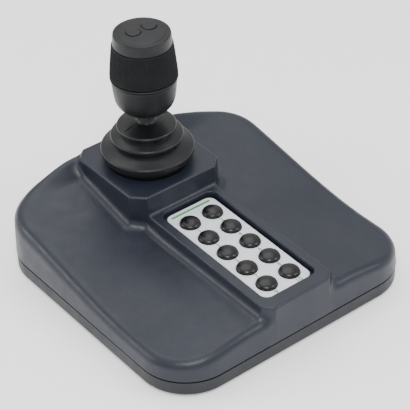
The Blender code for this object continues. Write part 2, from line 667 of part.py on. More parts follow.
def build_boot():
    """Bellows boot: three stepped rings, a nearly flat top and a neck, on a flange under the pedestal."""
    under = PEDESTAL_Z - WALL
    neck_top = 93.4
    outer = [
        (29.2, under - 1.5),
        (29.2, under - GAP),
        (BOOT_HOLE_R - 0.4, under - GAP),
        (BOOT_HOLE_R - 0.4, 58.0),
        (26.9, 61.1),
        (29.7, 63.0),
        (30.7, 66.2),
        (29.6, 67.3),
        (21.0, 71.6),
        (20.6, 72.6),
        (23.2, 74.4),
        (23.8, 76.0),
        (22.9, 76.8),
        (17.2, 79.1),
        (17.0, 80.2),
        (19.2, 82.2),
        (19.5, 83.2),
        (18.6, 84.0),
        (6.4, 87.0),
        (5.5, 88.6),
        (5.5, neck_top),
    ]
    inner = [
        (SHAFT_RADIUS + 0.4, neck_top),
        (SHAFT_RADIUS + 0.4, 87.0),
        (17.2, 82.6),
        (15.3, 80.4),
        (15.6, 78.4),
        (21.5, 76.0),
        (21.3, 75.0),
        (19.0, 73.0),
        (19.2, 71.2),
        (28.3, 66.5),
        (28.0, 64.8),
        (BOOT_HOLE_R - 2.2, 61.2),
        (BOOT_HOLE_R - 2.2, under - 1.5),
    ]
    bm = turned(outer + inner, 24, hollow=True, at=(0, STICK_Y, 0))
    new_object("boot", bm, "boot_rubber", pivot=(0, STICK_Y, PIVOT_Z))
    low, high = GIMBAL_FLANGE_TOP + GAP, under - 1.5 - GAP
    ring = [(29.4, low), (29.4, high), (24.6, high), (24.6, low)]
    new_object("boot_clamp_ring", turned(ring, 20, hollow=True, at=(0, STICK_Y, 0)), "steel")


# ---------------------------------------------------------------- knob


SKIRT_LOW = 94.0
SLEEVE_LOW = 121.0
SLEEVE_TOP = 143.8
CAP_TOP = 151.8
CAP_DOME_Z = 152.3
CAP_INNER_Z = 147.6
BUTTON_TOP = 152.8
BUTTON_LOW = 143.0
BUTTON_SPACING = 6.1
BUTTON_SHIFT_X = 1.6
BUTTON_SHIFT_Y = 2.8
BUTTON_HALF_X = 4.5
BUTTON_HALF_Y = 4.8
BUTTON_CORNER = 3.9
SWITCH_HALF = 3.0


def knob_piece(name, profile, material_name, segments=24, hollow=True, centre_x=0.0):
    """A turned piece of the knob, its origin on the stick's axis at the twist bearing."""
    bm = turned(profile, segments, hollow=hollow, at=(centre_x, STICK_Y, 0))
    return new_object(name, bm, material_name, pivot=(centre_x, STICK_Y, SLEEVE_LOW))


def build_knob():
    """Fixed bowl on the shaft, with the twisting core, sleeve, bead ring, cap, buttons and board above it."""
    bore = SHAFT_RADIUS + GAP
    skirt = [
        (bore, SKIRT_LOW), (6.0, SKIRT_LOW), (11.0, 95.0), (15.0, 97.0), (17.5, 99.6), (19.3, 103.0),
        (20.0, 106.0), (20.9, 117.0), (21.3, 118.9),
        (17.6, 118.9), (17.2, 107.0), (14.0, 104.0), (bore, 104.0),
    ]
    knob_piece("knob_bowl", skirt, "black_plastic")
    knob_piece("twist_sensor", [(bore, 104.3), (9.0, 104.3), (9.0, 109.0), (bore, 109.0)], "chip_epoxy", 14)
    torsion_spring("twist_spring", (0, STICK_Y, 112.5), "Z", 6.5, 3.0, 4.5, 3.0)

    core = [
        (bore, 117.0), (8.0, 117.0), (8.0, 119.6), (16.4, 119.6), (16.4, 141.6), (14.9, 141.6), (14.9, 133.5),
        (13.2, 133.5), (13.2, 122.0), (8.0, 122.0), (8.0, SHAFT_TOP - 0.4), (bore, SHAFT_TOP - 0.4),
    ]
    knob_piece("knob_core", core, "frame_plastic", 20)
    knob_piece("bead_ring", [(16.8, 119.3), (21.5, 119.3), (21.9, 120.0), (21.5, 120.7), (16.8, 120.7)],
               "black_plastic")
    sleeve = [(16.7, SLEEVE_LOW), (21.3, SLEEVE_LOW), (21.9, 122.0), (19.7, SLEEVE_TOP - 0.4),
              (19.2, SLEEVE_TOP), (16.7, SLEEVE_TOP)]
    knob_piece("knob_sleeve", sleeve, "grip_rubber")
    cap_low = SLEEVE_TOP + GAP
    cap = [
        (0, CAP_DOME_Z), (8.5, CAP_DOME_Z - 0.2), (14.6, CAP_TOP), (15.4, CAP_TOP - 0.4),
        (16.6, CAP_TOP - 0.1), (17.7, CAP_TOP), (18.4, CAP_TOP - 0.8), (18.9, cap_low), (16.3, cap_low),
        (16.3, 142.0), (14.6, 142.0), (14.6, CAP_INNER_Z), (0, CAP_INNER_Z),
    ]
    cap_piece = knob_piece("knob_cap", cap, "black_plastic", hollow=False)
    screw_profile = [(0, 125.0), (1.9, 125.0), (1.9, SHAFT_TOP + GAP), (5.2, SHAFT_TOP + GAP),
                     (5.2, 129.4), (4.2, 130.2), (0, 130.2)]
    knob_piece("knob_retaining_screw", screw_profile, "steel", 16, hollow=False)
    board = [(0, 133.8), (14.5, 133.8), (14.5, 135.4), (0, 135.4)]
    board_piece = knob_piece("button_board", board, "circuit_board", 18, hollow=False)
    y = STICK_Y + BUTTON_SHIFT_Y
    for side, name in ((-1, "left"), (1, "right")):
        x = BUTTON_SHIFT_X + side * BUTTON_SPACING
        build_button(cap_piece, name, x, y)
        switch = slab(x - SWITCH_HALF, x + SWITCH_HALF, y - SWITCH_HALF, y + SWITCH_HALF, 135.0, 139.6)
        join(board_piece, f"guide_switch_{name}", switch)


def button_prism(margin, x, y, low, high):
    """The oval outline of a thumb button, grown by a margin and raised between two heights."""
    outline = rounded_outline(BUTTON_HALF_X + margin, BUTTON_HALF_Y + margin, BUTTON_CORNER + margin, y, 4)
    bm = prism(outline, low, high)
    bmesh.ops.translate(bm, verts=bm.verts, vec=(x, 0, 0))
    return bm


def build_button(cap_piece, name, x, y):
    """An oval thumb button, a little proud of its opening, with a stem down to its switch."""
    opening = button_prism(GAP, x, y, BUTTON_LOW + 1, BUTTON_TOP + 1)
    cut(cap_piece, f"cutter_button_{name}", opening)
    pad = button_prism(0.0, x, y, BUTTON_LOW, BUTTON_TOP)
    button = new_object(f"button_{name}", pad, "black_plastic", pivot=(x, y, BUTTON_LOW))
    stem = turned([(0, 140.9), (2.0, 140.9), (2.0, BUTTON_LOW + 1), (0, BUTTON_LOW + 1)], 14, at=(x, y, 0))
    join(button, f"guide_stem_{name}", stem)


# ---------------------------------------------------------------- electronics


def build_electronics():
    """Main board on its posts, with the processor, the rear data socket and the inside leads."""
    x0, x1 = BOARD_X
    y0, y1 = BOARD_Y
    board = new_object("main_board", slab(x0, x1, y0, y1, BOARD_Z, BOARD_Z + BOARD_THICK), "circuit_board")
    top = BOARD_Z + BOARD_THICK
    for n, (x, y) in enumerate(BOARD_POSTS):
        hole = [(0, BOARD_Z - 2), (1.6, BOARD_Z - 2), (1.6, top + 2), (0, top + 2)]
        cut(board, f"cutter_board_screw_{n}", turned(hole, 8, at=(x, y, 0)))
        screw(f"board_screw_{n + 1}", (x, y, top + GAP), 6.5, 2.5, 1.5, 0.95, points="down")
    join(board, "guide_processor", slab(-60, -48, 34, 46, top - 0.5, top + 1.6))
    join(board, "guide_ribbon_header", slab(-50, -38, 20, 28, top - 0.5, top + HEADER_HEIGHT))
    build_socket()
    build_leads(top + HEADER_HEIGHT)


def build_socket():
    """A square data socket: an open-mouthed metal shell round a plastic tongue."""
    low, high, half = SOCKET_LOW, SOCKET_HIGH, SOCKET_HALF
    y0, y1 = SOCKET_MOUTH_Y - 16.0, SOCKET_MOUTH_Y
    shell = new_object("data_socket", slab(SOCKET_X - half, SOCKET_X + half, y0, y1, low, high), "steel")
    cut(shell, "cutter_socket_mouth", slab(SOCKET_X - half + 1, SOCKET_X + half - 1, y0 + 3, y1 + 3,
                                           low + 1, high - 1))
    middle = (low + high) / 2
    tongue = slab(SOCKET_X - 2.8, SOCKET_X + 2.8, y0 + 3 + GAP, y1 - 1.5, middle - 1.5, middle + 1.5)
    new_object("socket_tongue", tongue, "nylon")


def build_leads(header_top):
    """The keypad's flat ribbon and the stick's round lead, from their boards to the main board."""
    start = Vector((-19.0, -50.0, 22.6))
    end = Vector((-44.0, 24.0, header_top + 0.6))
    path = bezier(start, (-20.0, -45.0, 15.0), (-44.0, 22.0, 36.0), end, 14)
    wire("keypad_ribbon", path, 1.3, "ribbon_grey", 1)
    stick_end = Vector((0, STICK_Y, PIVOT_Z - 8.2))
    board_end = Vector((-41.0, 52.0, BOARD_Z + BOARD_THICK + 1.8))
    path = bezier(stick_end, (0, STICK_Y, 14.0), (-28.0, 54.0, 15.5), board_end, 14)
    wire("stick_lead", path, 1.2, "ribbon_grey", 1)


def main():
    clear_scene()
    keypad = empty("keypad_plane", (0, KEYPAD_Y, KEYPAD_Z), KEYPAD_TILT)
    build_housing(keypad)
    build_base()
    build_feet()
    build_keypad(keypad)
    build_gimbal_frame()
    build_yoke()
    build_stick()
    build_sensors()
    build_boot()
    build_knob()
    build_electronics()


main()
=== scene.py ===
import math

import bmesh
import bpy
import numpy as np
from mathutils import Matrix, Vector


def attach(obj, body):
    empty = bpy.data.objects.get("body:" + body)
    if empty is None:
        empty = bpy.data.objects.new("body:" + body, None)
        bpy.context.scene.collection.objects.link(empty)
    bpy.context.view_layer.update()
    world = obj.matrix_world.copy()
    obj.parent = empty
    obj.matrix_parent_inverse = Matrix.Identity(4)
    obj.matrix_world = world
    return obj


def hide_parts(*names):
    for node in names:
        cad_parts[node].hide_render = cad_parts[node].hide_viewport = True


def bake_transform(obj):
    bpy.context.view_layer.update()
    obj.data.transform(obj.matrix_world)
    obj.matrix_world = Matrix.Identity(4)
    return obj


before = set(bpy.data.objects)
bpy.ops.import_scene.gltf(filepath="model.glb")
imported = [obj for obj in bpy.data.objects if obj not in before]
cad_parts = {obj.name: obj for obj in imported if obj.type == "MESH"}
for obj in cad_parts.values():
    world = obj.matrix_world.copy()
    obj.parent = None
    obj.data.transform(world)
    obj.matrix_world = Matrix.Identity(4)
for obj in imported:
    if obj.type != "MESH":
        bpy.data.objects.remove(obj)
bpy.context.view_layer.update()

# Looks of a desktop hand controller. Shapes are in millimetres and become metres in raw_object.
MM = 0.001

# Sizes shared with the CAD part
HALF_X = 97.5
HALF_Y = 97.0
CORNER_RADIUS = 33.5
FOOT_STAND = 2.0
PARTING_Z = 12.3
PARTING_GAP = 0.3
BASE_INSET = 0.3
GROOVE_HEIGHT = 0.8
SIDE_DRAFT = 0.7
STICK_Y = 57.9
PEDESTAL_FRONT = 22.2
PEDESTAL_BACK = 93.6
PEDESTAL_HALF = 35.7
PEDESTAL_CHAMFER = 8.0
PEDESTAL_Z = 56.5
BOOT_HOLE_R = 26.1
SPINE_HALF = 27.5
SPINE_CHAMFER = 6.0
SPINE_ABOVE_PLATE = 3.0
KEYPAD_Y = -35.4
KEYPAD_Z = 38.05
KEYPAD_TILT = math.radians(1.3)
RECESS_HALF = 21.0
RECESS_BACK = 54.1
RECESS_FRONT = -50.6
PLATE_GAP = 2.0
PLATE_THICK = 1.5
LEDGE_THICK = 2.5
GAP = 0.3
KEY_COLUMN_PITCH = 18.2
KEY_ROW_PITCH = 18.87
KEY_RADIUS = 6.6
KEY_HEIGHT = 3.4
BOARD_POSTS = ((-67.0, 12.0), (-41.0, 70.0))
SOCKET_X = -54.0
SOCKET_Z = 18.6
SOCKET_HALF_X = 6.0
SOCKET_HALF_Z = 5.5
SOCKET_DEPTH = 16.0
SOCKET_SUNK = 1.8
KEYPAD = Matrix.Translation((0, KEYPAD_Y, KEYPAD_Z)) @ Matrix.Rotation(KEYPAD_TILT, 4, "X")


# ---------------------------------------------------------------- materials

BLOTCH_SCALE = 45.0
SMEAR_SCALE = 120.0
NOISE_LOW = 0.3
NOISE_HIGH = 0.7
BUMP_DEPTH = 0.0002
WORN_SHARE = 1.8
WORN_LIFT = 0.004


def add_node(tree, kind, **values):
    """A shader node, with its properties and its inputs set by name."""
    node = tree.nodes.new(kind)
    for key, value in values.items():
        if hasattr(node, key):
            setattr(node, key, value)
        else:
            node.inputs[key.replace("_", " ")].default_value = value
    return node


def scaled(colour, share):
    """A colour times a share, as RGBA."""
    return (*(min(c * share, 1.0) for c in colour), 1.0)


def finish(name, colour, roughness, grain=(900, 0.2), mottle=0.06, wear=0.25, metallic=0.0, specular=0.5,
           coat=0.0, rough_spread=0.06, stretch=(1, 1, 1), wear_at=(0.52, 0.6)):
    """A moulded, cast or plated surface: mottled colour, uneven gloss, fine grain bump and paler worn edges."""
    made = bpy.data.materials.new(name)
    made.use_nodes = True
    tree = made.node_tree
    link = tree.links.new
    shader = tree.nodes["Principled BSDF"]
    shader.inputs["Metallic"].default_value = metallic
    shader.inputs["Specular IOR Level"].default_value = specular
    shader.inputs["Coat Weight"].default_value = coat
    shader.inputs["Coat Roughness"].default_value = 0.08
    place = add_node(tree, "ShaderNodeTexCoord")
    mapping = add_node(tree, "ShaderNodeMapping")
    mapping.inputs["Scale"].default_value = stretch
    link(place.outputs["Object"], mapping.inputs["Vector"])

    broad = add_node(tree, "ShaderNodeTexNoise", Scale=BLOTCH_SCALE, Detail=4.0, Roughness=0.6)
    link(mapping.outputs["Vector"], broad.inputs["Vector"])
    speck = add_node(tree, "ShaderNodeTexNoise", Scale=grain[0], Detail=2.0, Roughness=0.7)
    link(mapping.outputs["Vector"], speck.inputs["Vector"])

    tint = add_node(tree, "ShaderNodeValToRGB")
    tint.color_ramp.elements[0].position = NOISE_LOW
    tint.color_ramp.elements[0].color = scaled(colour, 1 - mottle)
    tint.color_ramp.elements[1].position = NOISE_HIGH
    tint.color_ramp.elements[1].color = scaled(colour, 1 + mottle)
    link(broad.outputs["Fac"], tint.inputs["Fac"])

    geometry = add_node(tree, "ShaderNodeNewGeometry")
    edge = add_node(tree, "ShaderNodeMapRange")
    edge.inputs["From Min"].default_value = wear_at[0]
    edge.inputs["From Max"].default_value = wear_at[1]
    edge.inputs["To Max"].default_value = wear
    link(geometry.outputs["Pointiness"], edge.inputs["Value"])
    worn = add_node(tree, "ShaderNodeMix", data_type="RGBA")
    worn.inputs["B"].default_value = scaled([c * WORN_SHARE + WORN_LIFT for c in colour], 1.0)
    link(edge.outputs["Result"], worn.inputs["Factor"])
    link(tint.outputs["Color"], worn.inputs["A"])
    link(worn.outputs["Result"], shader.inputs["Base Color"])

    gloss = add_node(tree, "ShaderNodeMapRange")
    gloss.inputs["From Min"].default_value = NOISE_LOW
    gloss.inputs["From Max"].default_value = NOISE_HIGH
    gloss.inputs["To Min"].default_value = max(roughness - rough_spread, 0.02)
    gloss.inputs["To Max"].default_value = min(roughness + rough_spread, 1.0)
    smear = add_node(tree, "ShaderNodeTexNoise", Scale=SMEAR_SCALE, Detail=3.0)
    link(mapping.outputs["Vector"], smear.inputs["Vector"])
    link(smear.outputs["Fac"], gloss.inputs["Value"])
    link(gloss.outputs["Result"], shader.inputs["Roughness"])

    bump = add_node(tree, "ShaderNodeBump")
    bump.inputs["Strength"].default_value = grain[1]
    bump.inputs["Distance"].default_value = BUMP_DEPTH
    link(speck.outputs["Fac"], bump.inputs["Height"])
    link(bump.outputs["Normal"], shader.inputs["Normal"])
    return made


LOOKS = {
    "slate_plastic": dict(colour=(0.0118, 0.0146, 0.0240), roughness=0.38, grain=(1100, 0.6), mottle=0.08,
                          specular=0.38),
    "base_plastic": dict(colour=(0.0090, 0.0100, 0.0140), roughness=0.45, grain=(1500, 0.35), specular=0.38),
    "black_plastic": dict(colour=(0.0065, 0.007, 0.008), roughness=0.4, grain=(1800, 0.25), wear=0.4,
                          specular=0.32),
    "grip_rubber": dict(colour=(0.0035, 0.004, 0.0048), roughness=0.6, grain=(1300, 0.3), wear=0.5,
                        specular=0.2),
    "boot_rubber": dict(colour=(0.006, 0.0065, 0.0075), roughness=0.36, grain=(1100, 0.3), wear=0.5,
                        specular=0.35),
    "key_gloss": dict(colour=(0.004, 0.004, 0.0044), roughness=0.3, grain=(700, 0.05), mottle=0.2,
                      specular=0.4, rough_spread=0.03),
    "silver_plate": dict(colour=(0.69, 0.71, 0.75), roughness=0.5, grain=(1900, 0.5), mottle=0.04,
                         metallic=0.25, wear=0.05),
    "silicone": dict(colour=(0.55, 0.57, 0.58), roughness=0.55, grain=(900, 0.15), mottle=0.04),
    "circuit_board": dict(colour=(0.015, 0.13, 0.05), roughness=0.35, grain=(600, 0.4), mottle=0.35, coat=0.3),
    "steel": dict(colour=(0.58, 0.59, 0.60), roughness=0.32, grain=(700, 0.3), metallic=1.0, mottle=0.08,
                  rough_spread=0.1, stretch=(1, 1, 0.12)),
    "nylon": dict(colour=(0.74, 0.72, 0.66), roughness=0.48, grain=(1200, 0.15), mottle=0.05, wear=0.05),
    "frame_plastic": dict(colour=(0.07, 0.07, 0.078), roughness=0.6, grain=(500, 0.4), mottle=0.15),
    "foot_rubber": dict(colour=(0.018, 0.018, 0.019), roughness=0.85, grain=(1000, 0.5), mottle=0.15),
    "chip_epoxy": dict(colour=(0.018, 0.018, 0.02), roughness=0.5, grain=(1600, 0.4), mottle=0.15),
    "ribbon_grey": dict(colour=(0.42, 0.43, 0.45), roughness=0.5, grain=(400, 0.3), mottle=0.08),
}
MATERIALS = {slot: finish(slot + "_look", **look) for slot, look in LOOKS.items()}
DIGIT_GREEN = finish("digit_ink", (0.03, 0.25, 0.08), 0.5, grain=(2500, 0.2), mottle=0.12, wear=0.0)

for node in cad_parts.values():
    old = node.data.materials[0].name.split(".")[0] if node.data.materials else "frame_plastic"
    look = MATERIALS.get(old, MATERIALS["frame_plastic"])
    node.data.materials.clear()
    node.data.materials.append(look)


# ---------------------------------------------------------------- mesh helpers


def ring_faces(bm, lower, upper):
    """Quads between two rings of the same count, or a fan where one of them is a single point."""
    count = max(len(lower), len(upper))
    for i in range(count):
        a = lower[i % len(lower)]
        b = lower[(i + 1) % len(lower)]
        c = upper[(i + 1) % len(upper)]
        d = upper[i % len(upper)]
        corners = list(dict.fromkeys((a, b, c, d)))
        if len(corners) > 2:
            bm.faces.new(corners)


def lofted(loops, closed=False):
    """A closed body through loops of points, capped at both ends, or joined last to first."""
    bm = bmesh.new()
    rings = [[bm.verts.new(p) for p in loop] for loop in loops]
    for lower, upper in zip(rings[:-1], rings[1:]):
        ring_faces(bm, lower, upper)
    if closed:
        ring_faces(bm, rings[-1], rings[0])
    else:
        for end in (rings[0], rings[-1]):
            if len(end) > 2:
                bm.faces.new(end)
    return bm


def turned(profile, segments=96, hollow=False, at=(0, 0, 0), ripple=None):
    """A body turned about Z from (radius, height) points; ripple changes the radius round each ring."""
    loops = []
    for radius, height in profile:
        if radius < 1e-6:
            loops.append([(0, 0, height)])
            continue
        loop = []
        for i in range(segments):
            angle = 2 * math.pi * i / segments
            r = radius + (ripple(angle, radius, height) if ripple else 0.0)
            loop.append((r * math.cos(angle), r * math.sin(angle), height))
        loops.append(loop)
    bm = lofted(loops, hollow)
    bm.transform(Matrix.Translation(at))
    return bm


def rounded_outline(half_x, half_y, radius, centre=(0.0, 0.0), steps=12):
    """A rectangle with round corners, run anticlockwise."""
    points = []
    for n, (sx, sy) in enumerate([(1, 1), (-1, 1), (-1, -1), (1, -1)]):
        for i in range(steps + 1):
            angle = (n + i / steps) * math.pi / 2
            points.append((centre[0] + sx * (half_x - radius) + radius * math.cos(angle),
                           centre[1] + sy * (half_y - radius) + radius * math.sin(angle)))
    return points


def at_height(outline, z):
    """A flat outline's points at a height."""
    return [(x, y, z) for x, y in outline]


def stacked(half_x, half_y, radius, levels, centre=(0.0, 0.0), steps=12, closed=False):
    """A rounded-rectangle body from (inset, height) levels."""
    loops = [at_height(rounded_outline(half_x - i, half_y - i, max(radius - i, 0.2), centre, steps), z)
             for i, z in levels]
    return lofted(loops, closed)


def arc(cx, cz, radius, start, end, steps):
    """(r, z) points along an arc, its angles in degrees from +r towards +z."""
    angles = [math.radians(start + (end - start) * i / steps) for i in range(steps + 1)]
    return [(cx + radius * math.cos(a), cz + radius * math.sin(a)) for a in angles]


def merged(parts):
    """Several bodies as one bmesh."""
    whole = bmesh.new()
    for part in parts:
        mesh = bpy.data.meshes.new("part")
        part.to_mesh(mesh)
        part.free()
        whole.from_mesh(mesh)
        bpy.data.meshes.remove(mesh)
    return whole


def raw_object(name, bm):
    """A body in millimetres as an object in metres."""
    bmesh.ops.recalc_face_normals(bm, faces=bm.faces)
    bm.transform(Matrix.Scale(MM, 4))
    mesh = bpy.data.meshes.new(name)
    bm.to_mesh(mesh)
    bm.free()
    obj = bpy.data.objects.new(name, mesh)
    bpy.context.scene.collection.objects.link(obj)
    return obj


def cut(obj, bm, operation="DIFFERENCE"):
    """The Boolean of obj with a body, applied to its mesh."""
    tool = raw_object(obj.name + "_tool", bm)
    modifier = obj.modifiers.new("cut", "BOOLEAN")
    modifier.operation = operation
    modifier.solver = "EXACT"
    modifier.object = tool
    bpy.context.view_layer.update()
    done = bpy.data.meshes.new_from_object(obj.evaluated_get(bpy.context.evaluated_depsgraph_get()))
    obj.modifiers.clear()
    obj.data = done
    bpy.data.objects.remove(tool)


def dress(obj, slot, body, nodes=(), sharp=32, weighted=True, material=None):
    """Shading, material and body of a finished piece; slot picks the material unless one is given."""
    obj.data.shade_smooth()
    obj.data.set_sharp_from_angle(angle=math.radians(sharp))
    if weighted:
        normals = obj.modifiers.new("normals", "WEIGHTED_NORMAL")
        normals.keep_sharp = True
    obj.data.materials.clear()
    obj.data.materials.append(material or MATERIALS[slot])
    if nodes:
        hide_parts(*nodes)
    if body:
        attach(obj, body)
    return obj


def add_piece(name, bm, slot, body, nodes=(), **dress_values):
    """A finished piece straight from its body."""
    return dress(raw_object(name, bm), slot, body, nodes, **dress_values)


# ---------------------------------------------------------------- housing


def smooth_step(t):
    """0 below 0, 1 above 1, and an S-shaped rise between."""
    t = np.clip(t, 0.0, 1.0)
    return t * t * (3 - 2 * t)


INNER_FRONT_Z = 31.3
INNER_RISE = 16.2
INNER_START_Y = 0.0
OUTER_FRONT_Z = 25.0
OUTER_RISE = 19.8
OUTER_START_Y = -50.0
RISE_LENGTH = (110.0, 158.0)
BACK_LIP = 8.5
BACK_LIP_Y = 79.0
BACK_LIP_LENGTH = 14.0
WING_START_X = 36.0
WING_SPAN = (60.0, 46.0)
EDGE_RADIUS = (6.0, 8.5)
TOP_HALF_X = HALF_X - SIDE_DRAFT
TOP_HALF_Y = HALF_Y - SIDE_DRAFT
TOP_CORNER = CORNER_RADIUS - SIDE_DRAFT
CORNER_X = TOP_HALF_X - TOP_CORNER
CORNER_Y = TOP_HALF_Y - TOP_CORNER
SHELL = 2.2
ISLAND_ROUND = 1.3
WALL_DRAFT = 0.4
FILLET_REACH = 5.5
FILLET_RISE = 5.5
FILLET_SHARE = 0.8
SLANT_EASE = 2.0
NOTCH_ROUND = 2.5
QUARTER = (0, 22.5, 45, 67.5, 90)
FILLET_ANGLES = (0, 12, 24, 36, 48, 60, 75, 90)
TOP_SHARES = (0, 0.12, 0.25, 0.4, 0.55, 0.7, 0.85, 1.0)
WING_SHARES = (0.08, 0.18, 0.3, 0.44, 0.58, 0.72, 0.86, 1.0)
SPINE_ROWS = (-57.0, -50.0, -43.0, -36.0, -29.0, -22.0, -15.0, -8.0, -2.0, 4.0, 9.0, 13.5, 17.0)
PEDESTAL_ROWS = (26.2, 28.3, 30.4, 33.0, 37.0, 41.0, 46.0, 52.0, 58.0)
FRONT_LEVELS = (32.8, 28.5, 24, 20, 16, 12.5, 10, 8, 6, 5.2, 4.4, 3.2, 2.3, 1.5, 0.8, 0.36, 0.09, 0)
BACK_LEVELS = (32.8, 27.8, 22.8, 18.3, 14.3, 10.7, 7.8, 5.5, 4.0, 3.5, 3.08, 2.8, 2.7, 2.3, 1.3, 0.6, 0.15, 0)
BACK_TOP_ROWS = 12
BACK_EDGE_DROPS = {9: 0.2, 10: 0.55, 11: 0.95, 12: ISLAND_ROUND}
CORNER_STEPS = 18
OUTER_WALL = [(0.12, 0.08), (0.35, 0.25), (0.65, 0.45), (0.96, SIDE_DRAFT), (1.0, SIDE_DRAFT - 0.3)]
INNER_WALL = [(0.5, 0.3), (1.0, 0.5)]
RECESS_CORNER = 5.5
RECESS_CLEAR = 12.0
WINDOW_HALF = 17.2
WINDOW_INSET = 4
WINDOW_CORNER = 3.0
WINDOW_LOW = -14.0
LAID_BACK = Matrix.Rotation(-math.pi / 2, 4, "X")


def wing_height(x, y):
    """Top of the palm rests: an S-shaped rise to the back, lower towards the outer sides."""
    inner = INNER_FRONT_Z + INNER_RISE * smooth_step((y - INNER_START_Y) / RISE_LENGTH[0])
    inner = inner + BACK_LIP * smooth_step((y - BACK_LIP_Y) / BACK_LIP_LENGTH)
    outer = OUTER_FRONT_Z + OUTER_RISE * smooth_step((y - OUTER_START_Y) / RISE_LENGTH[1])
    span = WING_SPAN[0] + (WING_SPAN[1] - WING_SPAN[0]) * smooth_step((y + HALF_Y) / (2 * HALF_Y))
    return inner + (outer - inner) * smooth_step((np.abs(x) - WING_START_X) / span)


def drop(inside, radius):
    """How far a rounded edge lies under its top, at a distance inside the outline."""
    lack = np.clip(radius - inside, 0, radius)
    return radius - np.sqrt(radius**2 - lack**2)


def skin_height(x, y, shell):
    """The palm-rest surface with its rounded outer edge; shell is how far inside the outer skin it lies."""
    dx = np.maximum(np.abs(x) - CORNER_X, 0)
    dy = np.maximum(np.abs(y) - CORNER_Y, 0)
    inside = TOP_CORNER - shell - np.hypot(dx, dy)
    radius = EDGE_RADIUS[0] + (EDGE_RADIUS[1] - EDGE_RADIUS[0]) * smooth_step((y + HALF_Y) / (2 * HALF_Y))
    return wing_height(x, y) - shell - drop(np.maximum(inside, 0), radius)


def island_half(y, shell):
    """Half width of the raised island: the spine with its front corners cut off, then the pedestal."""
    slope = math.sqrt(2) * shell
    spine = np.minimum(SPINE_HALF - shell, SPINE_HALF - SPINE_CHAMFER + (y + TOP_HALF_Y) - slope)
    front = SPINE_HALF + (y - PEDESTAL_FRONT) - slope
    back = PEDESTAL_HALF - PEDESTAL_CHAMFER + (PEDESTAL_BACK - y) - slope
    pedestal = np.minimum(np.minimum(PEDESTAL_HALF - shell, front), back)
    return np.maximum(spine, np.where(y > 0, pedestal, 0))


def slant(y):
    """How much wider an offset is along X where the island's wall runs at 45 degrees."""
    def span(low, high):
        rise = smooth_step((y - low + SLANT_EASE) / (2 * SLANT_EASE))
        return rise * smooth_step((high - y + SLANT_EASE) / (2 * SLANT_EASE))
    total = span(PEDESTAL_FRONT, PEDESTAL_FRONT + PEDESTAL_HALF - SPINE_HALF)
    total = total + span(PEDESTAL_BACK - PEDESTAL_CHAMFER, PEDESTAL_BACK)
    total = total + span(-2 * TOP_HALF_Y, -TOP_HALF_Y + SPINE_CHAMFER)
    return 1 + (math.sqrt(2) - 1) * total


def sines(degrees):
    """The sine and cosine of each angle."""
    return [(math.sin(math.radians(a)), math.cos(math.radians(a))) for a in degrees]


def housing_rows(shell):
    """(y, island top) of each row from front to back; the top is None behind the pedestal."""
    scale = (TOP_CORNER - shell) / TOP_CORNER
    lower = PLATE_THICK + GAP + LEDGE_THICK + SPINE_ABOVE_PLATE if shell else 0.0

    def spine(y):
        return KEYPAD_Z + (y - KEYPAD_Y) * math.tan(KEYPAD_TILT) + SPINE_ABOVE_PLATE - lower

    rows = []
    for level in reversed(FRONT_LEVELS):
        y = -CORNER_Y - (TOP_CORNER - level) * scale
        rows.append((y, spine(y) - float(drop(np.array(level * scale), ISLAND_ROUND))))
    rows += [(y, spine(y)) for y in SPINE_ROWS]
    wall = PEDESTAL_FRONT + shell
    for s, c in sines(QUARTER):
        y = wall - WALL_DRAFT - NOTCH_ROUND * (1 - s)
        rows.append((y, spine(y) + NOTCH_ROUND * (1 - c)))
    top = PEDESTAL_Z - shell
    for s, c in sines(QUARTER):
        rows.append((wall + ISLAND_ROUND * (1 - c), top - ISLAND_ROUND * (1 - s)))
    rows += [(y, top) for y in PEDESTAL_ROWS]
    for n, level in enumerate(BACK_LEVELS):
        y = CORNER_Y + (TOP_CORNER - level) * scale
        rows.append((y, None if n > BACK_TOP_ROWS else top - BACK_EDGE_DROPS.get(n, 0.0)))
    return rows


def row_points(y, top, shell, side_levels):
    """One row's points from the middle out to the right-hand edge."""
    half = float(island_half(np.array(y), shell))
    wide = float(slant(np.array(y)))
    inner_half = half - ISLAND_ROUND * wide
    xs = [inner_half * share for share in TOP_SHARES]
    kinds = [("top", 0.0)] * len(TOP_SHARES)
    for s, c in sines(QUARTER[1:]):
        xs.append(half - ISLAND_ROUND * (1 - s) * wide)
        kinds.append(("top", ISLAND_ROUND * (1 - c)))
    for s, c in sines(FILLET_ANGLES):
        xs.append(half + (WALL_DRAFT + FILLET_REACH * (1 - c)) * wide)
        kinds.append(("fillet", 1 - s))
    foot = xs[-1]
    foot_index = len(xs) - 1
    for share in WING_SHARES:
        xs.append(foot + (CORNER_X - foot) * share)
        kinds.append(("wing", 0.0))
    for level in side_levels[1:]:
        xs.append(CORNER_X + level)
        kinds.append(("wing", 0.0))
    xs = np.array(xs)
    wing = skin_height(xs, np.full(len(xs), y), shell)
    heights = wing.copy()
    if top is not None:
        wall_height = top - ISLAND_ROUND - wing[foot_index]
        rise = min(max(FILLET_SHARE * wall_height, -FILLET_RISE), FILLET_RISE)
        for i, (kind, value) in enumerate(kinds):
            if kind == "top":
                heights[i] = top - value
            elif kind == "fillet":
                heights[i] = wing[i] + rise * value
    return xs, heights


